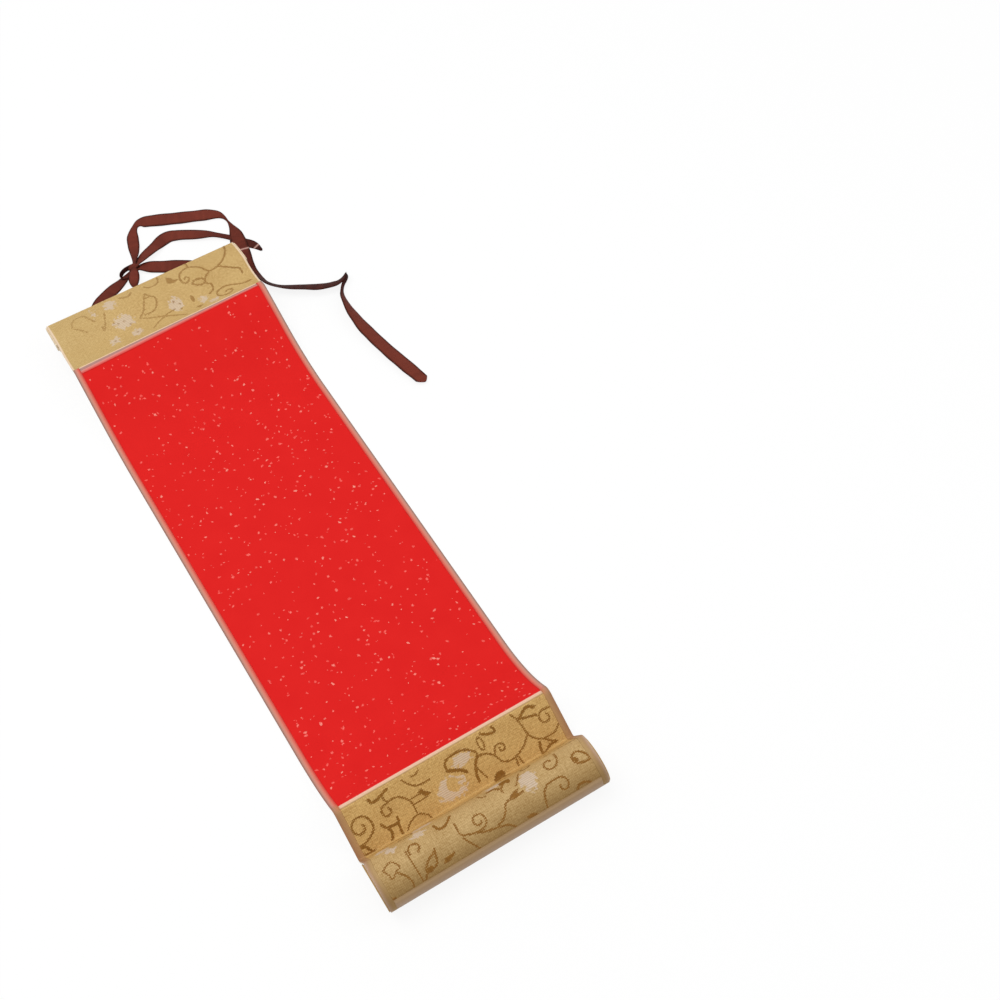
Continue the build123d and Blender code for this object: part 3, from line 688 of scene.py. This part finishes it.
# the ground's painted light and shade by depth: 0 for the lit top panel, 0.33 for the slope, 0.67 for the
# valley and roll top, 1 for the shade before the hem
low = add("ValToRGB", {"Fac": depth}, stops=[
    (0.0, "#B69254"), (0.33, "#AA7C3E"), (0.67, "#A07A40"), (1.0, "#84602C")])
high = add("ValToRGB", {"Fac": depth}, stops=[
    (0.0, "#D4B77D"), (0.33, "#DCB672"), (0.67, "#D0B07A"), (1.0, "#A8864E")])
ground = add("Mix", {"Factor": rough, "A": low, "B": high}, data_type="RGBA")
ribs = add("Mix", {"Factor": weft, "A": "#C6B09C", "B": "#E2D5CB"}, data_type="RGBA")
torn = add("Math", {0: ragged, 1: 8.0, 2: -3.6}, operation="MULTIPLY_ADD")
bloomEdge = add("Math", {0: bloom, 1: torn}, operation="ADD")
bloomMask = add("MapRange", {
    "Value": bloomEdge, "From Min": 0.5, "From Max": -0.6, "To Max": 0.55}, interpolation_type="SMOOTHSTEP")
stitch = add("Math", {0: grain, 1: 0.9, 2: -0.58}, operation="MULTIPLY_ADD")
step = add("Math", {0: cross, 1: 0.6, 2: stitch}, operation="MULTIPLY_ADD")
vineEdge = add("Math", {0: vine, 1: step}, operation="ADD")
vineMask = add("MapRange", {
    "Value": vineEdge, "From Min": 0.2, "From Max": -0.2}, interpolation_type="SMOOTHSTEP")
vineShow = add("Math", {0: vineMask, 1: strength}, operation="MULTIPLY")
thread = add("Mix", {"Factor": grain, "A": "#6C4208", "B": "#A06E22"}, data_type="RGBA")
flowered = add("Mix", {"Factor": bloomMask, "A": ground, "B": ribs}, data_type="RGBA")
drawn = add("Mix", {"Factor": vineShow, "A": flowered, "B": thread}, data_type="RGBA")
outer = add("Math", {0: across}, operation="ABSOLUTE")
cut = add("MapRange", {  # the last millimetre at either side
    "Value": outer, "From Min": sheet["halfWidth"] - 1.3, "From Max": sheet["halfWidth"] - 0.7})
edged = add("Mix", {"Factor": cut, "A": drawn, "B": "#EAD0B2"}, data_type="RGBA")
relief = add("Bump", {"Height": rough, "Strength": 0.35, "Distance": 0.0002})
shader = add("BsdfPrincipled", {
    "Base Color": edged, "Roughness": 0.65, "Specular IOR Level": 0.3, "Normal": relief})
add("OutputMaterial", {"Surface": shader})

sheetEdges = (-sheet["halfWidth"], sheet["halfWidth"])
sheetX = np.linspace(*sheetEdges, brocadeValues["across"])
lowerS = alongJoins(sheetX, np.linspace(lowerRidge, sheetEnd - sheet["trim"], brocadeValues["lowerRows"]))
relief, fields = brocadeFields(np.broadcast_to(sheetX, lowerS.shape), lowerS - lowerRidge, lowerDrawing)
# painted shade and bounce light on the lower panel, deepest down the roll's front toward the hem
fields["depth"] = np.interp(  # the colour's depth down the slope, in the valley and on the roll
    lowerS, [rollStart - 5, rollStart + 5, rollStart + 14, hemStart], [0.33, 0.67, 0.67, 1.0])
lowerPanel = makeLayer(
    "bottomBrocade", sheetX, lowerS, "panel", brocade, ["bottom_brocade"], fields, relief)
upperS = alongJoins(sheetX, np.linspace(sheet["trim"], upperRidge, brocadeValues["upperRows"]))
relief, fields = brocadeFields(np.broadcast_to(sheetX, upperS.shape), upperRidge - upperS, upperDrawing)
# the top panel stays near the ramp's lit end: 0 at its left edge, 0.1 from x = -15 on
fields["depth"] = np.interp(sheetX, [sheetEdges[0], -15], [0.0, 0.1])
upperPanel = makeLayer(
    "topBrocade", sheetX, upperS, "panel", brocade, ["top_brocade"], fields, relief)
print("brocade panels made")


# deep red dyed paper, evenly matt, with a faint cloudiness
redPaper, add = newMaterial("red rice paper, dyed")
coords = add("TexCoord", output="Object")
cloud, fibre = (  # clouds about 17 mm and fibres about 1 mm across
    add("TexNoise", {"Vector": coords, "Scale": scale, "Detail": detail})
    for scale, detail in ((60.0, 4.0), (900.0, 3.0)))
tone = add("Mix", {"Factor": cloud, "A": "#DA1C1B", "B": "#E32421"}, data_type="RGBA")
relief = add("Bump", {"Height": fibre, "Strength": 0.1, "Distance": 0.0001})
shader = add("BsdfPrincipled", {
    "Base Color": tone, "Roughness": 0.8, "Specular IOR Level": 0.1, "Normal": relief})
add("OutputMaterial", {"Surface": shader})
paperGrid = {"across": 61, "rows": 330}
paperX = np.linspace(*sheetEdges, paperGrid["across"])
paperS = alongJoins(paperX, np.linspace(upperRidge, lowerRidge, paperGrid["rows"]))
makeLayer("redPaper", paperX, paperS, "panel", redPaper, ["red_paper"])


# broken leaf of pinkish gold on the red; a random share per flake paints some flakes paler, a painted glint
# where they catch the light
goldLeaf, add, flakeGlint = newMaterial("gold leaf, sprinkled flakes", "flakeGlint")
tone = add("ValToRGB", {"Fac": flakeGlint}, stops=[
    (0.0, "#F4403A"), (0.45, "#FF5850"), (0.8, "#FF6E64"), (1.0, "#FF9484")])
shader = add("BsdfPrincipled", {"Base Color": tone, "Metallic": 0.1, "Roughness": 0.5})
add("OutputMaterial", {"Surface": shader})
fleckValues = {
    "seed": 7, "count": 980, "least": 0.4, "most": 1.05, "small": 1.6,  # a higher power, more small ones
    "thickness": 0.03, "sunk": 0.01, "corners": 7,
    "stretch": (1.0, 1.8), "jitter": 0.3, "uneven": (0.55, 1.15),
    "side": 4.5, "above": 1, "below": 2,  # the bare margins at the sides and along both cross strips
}


# a flake is a small ring of corners at uneven radii, stretched one way, with a middle point a little higher
def makeFlecks(values):
    pick = np.random.default_rng(values["seed"])
    count, corners = values["count"], values["corners"]
    widest = sheet["halfWidth"] - values["side"]
    x = pick.uniform(-widest, widest, count)
    join = upperRidge - sheet["joinRise"] - sheet["joinTilt"] * x
    top = join + 0.5 * sheet["upperStrip"] + values["above"]
    s = top + (lowerRidge - values["below"] - top) * pick.random(count)
    size = values["least"] + (values["most"] - values["least"]) * pick.random(count) ** values["small"]
    stretch = np.sqrt(pick.uniform(*values["stretch"], count))[:, None]
    turn = pick.uniform(0, math.pi, count)[:, None]
    jitter = pick.uniform(-values["jitter"], values["jitter"], (count, corners))
    angle = np.arange(corners) * 2 * math.pi / corners + jitter
    radius = size[:, None] * pick.uniform(*values["uneven"], (count, corners))
    a = radius * np.cos(angle) * stretch
    b = radius * np.sin(angle) / stretch
    ringX = x[:, None] + a * np.cos(turn) - b * np.sin(turn)
    ringS = s[:, None] + a * np.sin(turn) + b * np.cos(turn)
    allX = np.concatenate([ringX, ringX, x[:, None]], axis=1)
    allS = np.concatenate([ringS, ringS, s[:, None]], axis=1)
    heights = (-values["sunk"], 0.5 * values["thickness"], 2 * values["thickness"])
    lift = sheet["panel"][1] + np.repeat(heights, (corners, corners, 1))
    points = onSheet(allX, allS, np.broadcast_to(lift, allX.shape)).reshape(-1, 3)
    step = 2 * corners + 1
    one = np.arange(corners)
    two = (one + 1) % corners
    sides = np.stack([one, one + corners, two + corners, two], axis=1)
    fans = np.stack([one + corners, np.full(corners, 2 * corners), two + corners], axis=1)
    offset = np.arange(count)[:, None, None] * step
    faces = (sides + offset).reshape(-1, 4).tolist() + (fans + offset).reshape(-1, 3).tolist()
    faces += (one + offset[:, 0]).tolist()
    # each flake's painted glint, drawn at random
    flakeGlint = np.repeat(pick.random(count), step)
    return addPiece("goldFlecks", points, faces, goldLeaf, {"flakeGlint": flakeGlint})


makeFlecks(fleckValues)
print("red paper and flecks made")


# narrow plain silk with fine cross ribs; its colour runs in bands across, as its folded edges show
def bindingMaterial(name, *ramps):  # one ramp of bands for each zone along the strip
    material, add, across, along, band, zone = newMaterial(name, "across", "along", "band", "zone")
    place = add("CombineXYZ", {"X": across, "Y": along})
    warp, weft = (  # ribs 0.5 and 0.6 mm apart, drawn coarser than real silk so that they show
        add("TexWave", {"Vector": place, "Scale": scale, "Distortion": 0.8}, "Fac",
            bands_direction=way) for scale, way in ((0.6, "X"), (0.5, "Y")))
    cross = add("Math", {0: warp, 1: weft}, operation="ADD")
    rib = add("MapRange", {"Value": cross, "From Max": 2.0, "To Min": 0.88, "To Max": 1.1})
    bands = [add("ValToRGB", {"Fac": band}, stops=stops) for stops in ramps]
    colour = bands[0]
    for level, after in enumerate(bands[1:]):
        there = add("MapRange", {"Value": zone, "From Min": level, "From Max": level + 1.0})
        colour = add("Mix", {"Factor": there, "A": colour, "B": after}, data_type="RGBA")
    lit = add("VectorMath", {0: colour, "Scale": rib}, operation="SCALE")
    relief = add("Bump", {"Height": cross, "Strength": 0.3, "Distance": 0.0001})
    shader = add("BsdfPrincipled", {
        "Base Color": lit, "Roughness": 0.65, "Specular IOR Level": 0.3, "Normal": relief})
    add("OutputMaterial", {"Surface": shader})
    return material


# the side strips' zones are lit and shaded copies: painted shade darkens the slope and the roll's front
sideBinding = bindingMaterial(  # beside the paper, on the slope, before the roll and on it
    "plain silk, folded side binding",
    [(0.0, "#8E6858"), (0.12, "#A4786A"), (0.3, "#CC8E7C"), (0.55, "#DA8470"), (0.75, "#DC6A58"),
     (0.9, "#D44E42"), (1.0, "#C8362E")],
    [(0.0, "#A07250"), (0.5, "#AE8256"), (1.0, "#B68A58")],
    [(0.0, "#C6A88E"), (0.2, "#B89678"), (0.45, "#B08C62"), (0.7, "#B69462"), (1.0, "#B89664")],
    [(0.0, "#B49680"), (0.2, "#A0805E"), (0.5, "#987648"), (1.0, "#9A7844")])
upperBinding = bindingMaterial(
    "plain silk, upper cross strip",
    [(0.0, "#F0D0AC"), (0.2, "#EFC9A8"), (0.3, "#B48C82"), (0.56, "#B4807A"), (0.66, "#DE8C82"),
     (0.82, "#E0665E"), (1.0, "#DC2F2B")])
lowerBinding = bindingMaterial(
    "plain silk, lower cross strip",
    [(0.0, "#E8988A"), (0.25, "#EFC3AA"), (0.7, "#E4BC98"), (1.0, "#C09868")])
# its colour darkens toward the lower edge under the roll, painted shade
hemBinding = bindingMaterial(
    "plain silk, roll hem",
    [(0.0, "#A8865C"), (0.06, "#B4946C"), (0.12, "#A88864"), (0.3, "#AA8E74"), (1.0, "#967E68")])

sideGrid = {"across": 15, "step": 1.0}
inner = sheet["halfWidth"] - sheet["sideStrip"]
stripRun = np.r_[np.arange(upperRidge - 0.5 * sheet["upperStrip"], hemEnd, sideGrid["step"]), hemEnd]
# where the side strips change colour: over the lower ridge, where the roll starts and before its hem;
# the darker slope and roll-front zones are painted shade
zoneEnds = [lowerRidge - 4, lowerRidge + 1.5, rollStart, rollStart + 4, rollStart + 14, hemStart]
for name, node, edges in (("leftSideStrip", "left_side_strip", (sheetEdges[0], -inner)),
                          ("rightSideStrip", "right_side_strip", (inner, sheetEdges[1]))):
    x = np.linspace(*edges, sideGrid["across"])
    stripS = alongJoins(x, stripRun)
    facts = {"band": (sheet["halfWidth"] - np.abs(x)) / sheet["sideStrip"],
             "zone": np.interp(stripS, zoneEnds, [0, 1, 1, 2, 2, 3])}
    makeLayer(name, x, stripS, "strip", sideBinding, [node], facts)
upperMiddle, lowerMiddle = upperRidge - sheet["joinRise"], lowerRidge + sheet["lowerDrop"]
crossStrips = [  # piece, node, where its upper edge is, tilt, width, points across and along, material
    ("upperCrossStrip", "upper_cross_strip", upperMiddle - 0.5 * sheet["upperStrip"], sheet["joinTilt"],
     sheet["upperStrip"], (101, 25), upperBinding),
    ("lowerCrossStrip", "lower_cross_strip", lowerMiddle - 0.5 * sheet["lowerStrip"], 0,
     sheet["lowerStrip"], (101, 25), lowerBinding),
    ("rollHemStrip", "roll_hem_strip", hemStart, 0, hemEnd - hemStart, (201, 70), hemBinding),
]
for name, node, start, tilt, width, (wide, tall), material in crossStrips:
    x = np.linspace(-inner, inner, wide)
    share = np.linspace(0, 1, tall)[:, None] * np.ones(wide)
    facts = {"band": share, "zone": 0.0}
    makeLayer(name, x, start - tilt * x + share * width, "strip", material, [node], facts)
print("binding strips made")


# warm white paper on the back, matt and plain
backing, add = newMaterial("white rice paper, pasted backing")
coords = add("TexCoord", output="Object")
fibre = add("TexNoise", {"Vector": coords, "Scale": 400.0, "Detail": 5.0})  # tufts about 2.5 mm across
tone = add("Mix", {"Factor": fibre, "A": "#E2D9C8", "B": "#F0EADC"}, data_type="RGBA")
shader = add("BsdfPrincipled", {"Base Color": tone, "Roughness": 0.8})
add("OutputMaterial", {"Surface": shader})
backGrid = {"across": 3, "rows": 700}
backX = np.linspace(*sheetEdges, backGrid["across"])
backRun = np.linspace(sheet["trim"], sheetEnd - sheet["trim"], backGrid["rows"])
backS = backRun[:, None] * np.ones(backGrid["across"])
makeLayer("backingPaper", backX, backS, "backing", backing, ["backing_paper"])

# pale sanded wood with a fine straight grain along the stick, 2 mm wide and 33 mm long
wood, add = newMaterial("limewood, sanded")
coords = add("TexCoord", output="Object")
stretch = add("Mapping", {"Vector": coords, "Scale": (30.0, 500.0, 500.0)})
grain = add("TexNoise", {"Vector": stretch, "Scale": 1.0, "Detail": 5.0})
tone = add("Mix", {"Factor": grain, "A": "#D2B48A", "B": "#F0DFC2"}, data_type="RGBA")
shader = add("BsdfPrincipled", {"Base Color": tone, "Roughness": 0.6})
add("OutputMaterial", {"Surface": shader})


# a round bar from one x to another: a circle carried along x, leaning with the roll, closed by flat ends
def makeRound(name, ends, radius, material, values, replaced, around=72):
    y, z = (rollAxis + radius * circle(np.linspace(0, 2 * math.pi, around, endpoint=False))).T
    lean = sheet["skew"] * (z - rollAxis[1])
    points = np.concatenate([np.stack([end + lean, y, z], axis=1) for end in ends])
    facts = {key: np.full(len(points), value) for key, value in values.items()}
    return addPiece(name, points, tubeFaces(2, around), material, facts, replaced)


rollSlack = 0.02  # between the roller and the paper round it
capRadius = 0.5 * (capHigh[2] - capLow[2])
# the roller caps take the roll top's painted shade
plain = {"across": 0.0, "along": 0.0, "vine": reach, "bloom": reach, "strength": 0.0, "depth": 0.67}
makeRound("bottomRoller", sheetEdges, rollRadius - rollSlack, wood, {}, ["bottom_roller"])
for name, node, ends in (("leftRollerCap", "left_roller_cap", (-capHigh[0], -capLow[0])),
                         ("rightRollerCap", "right_roller_cap", (capLow[0], capHigh[0]))):
    makeRound(name, ends, capRadius, brocade, plain, [node])

# yellow drawn wire, bright with faint scratches
brass, add = newMaterial("brass wire, drawn")
coords = add("TexCoord", output="Object")
scratch = add("TexNoise", {"Vector": coords, "Scale": 1500.0, "Detail": 3.0})  # about 0.7 mm apart
worn = add("MapRange", {"Value": scratch, "To Min": 0.2, "To Max": 0.42})
shader = add("BsdfPrincipled", {"Base Color": "#C9A85C", "Metallic": 1.0, "Roughness": worn})
add("OutputMaterial", {"Surface": shader})
for node, material in (("top_stick", wood), ("left_eyelet", brass), ("right_eyelet", brass)):
    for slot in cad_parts[node].material_slots:
        slot.material = material


# plain white table that shows nearly pure white to the camera, with only a faint shadow
tableValues = {"half": 4.0, "glow": 0.88}
table, add = newMaterial("white table, matt")
matt = add("BsdfDiffuse", {"Color": "#FFFFFF"})
glow = add("Emission", {"Color": "#FFFFFF"})
rays = add("LightPath").node.outputs
seen = add("Math", {0: rays["Is Camera Ray"], 1: rays["Is Glossy Ray"]}, operation="MAXIMUM")
shown = add("Math", {0: seen, 1: rays["Is Transmission Ray"]}, operation="MAXIMUM")
share = add("Math", {0: shown, 1: tableValues["glow"]}, operation="MULTIPLY")
mixed = add("MixShader", {0: share, 1: matt, 2: glow})
add("OutputMaterial", {"Surface": mixed})
floor = bpy.data.objects.new("floor", bpy.data.meshes.new("floor"))
far = tableValues["half"]
floor.data.from_pydata([(-far, -far, 0), (far, -far, 0), (far, far, 0), (-far, far, 0)], [], [(0, 1, 2, 3)])
floor.data.materials.append(table)
bpy.context.scene.collection.objects.link(floor)

lamps = {
    "key": {"place": (-0.35, 0.3, 1.3), "aim": (0, 0, 0), "size": 1.0, "watts": 9.0},
    "fill": {"place": (0.9, -0.5, 1.2), "aim": (0, 0, 0), "size": 1.2, "watts": 4.4},
}
worldStrength = 0.53
for name, values in lamps.items():
    light = bpy.data.lights.new(name, "AREA")
    light.size = values["size"]
    light.energy = values["watts"]
    lamp = bpy.data.objects.new(name, light)
    lamp.location = values["place"]
    toward = np.array(values["aim"]) - np.array(values["place"])
    tip = math.atan2(math.hypot(*toward[:2]), -toward[2])
    lamp.rotation_euler = (tip, 0, math.atan2(-toward[0], toward[1]))
    bpy.context.scene.collection.objects.link(lamp)
world = bpy.data.worlds.new("studio")
bpy.context.scene.world = world
world.use_nodes = True
background = world.node_tree.nodes["Background"]
background.inputs["Color"].default_value = linear("#FFFFFF")
background.inputs["Strength"].default_value = worldStrength
bpy.context.scene.view_settings.view_transform = "Standard"
print("stage and lights placed")
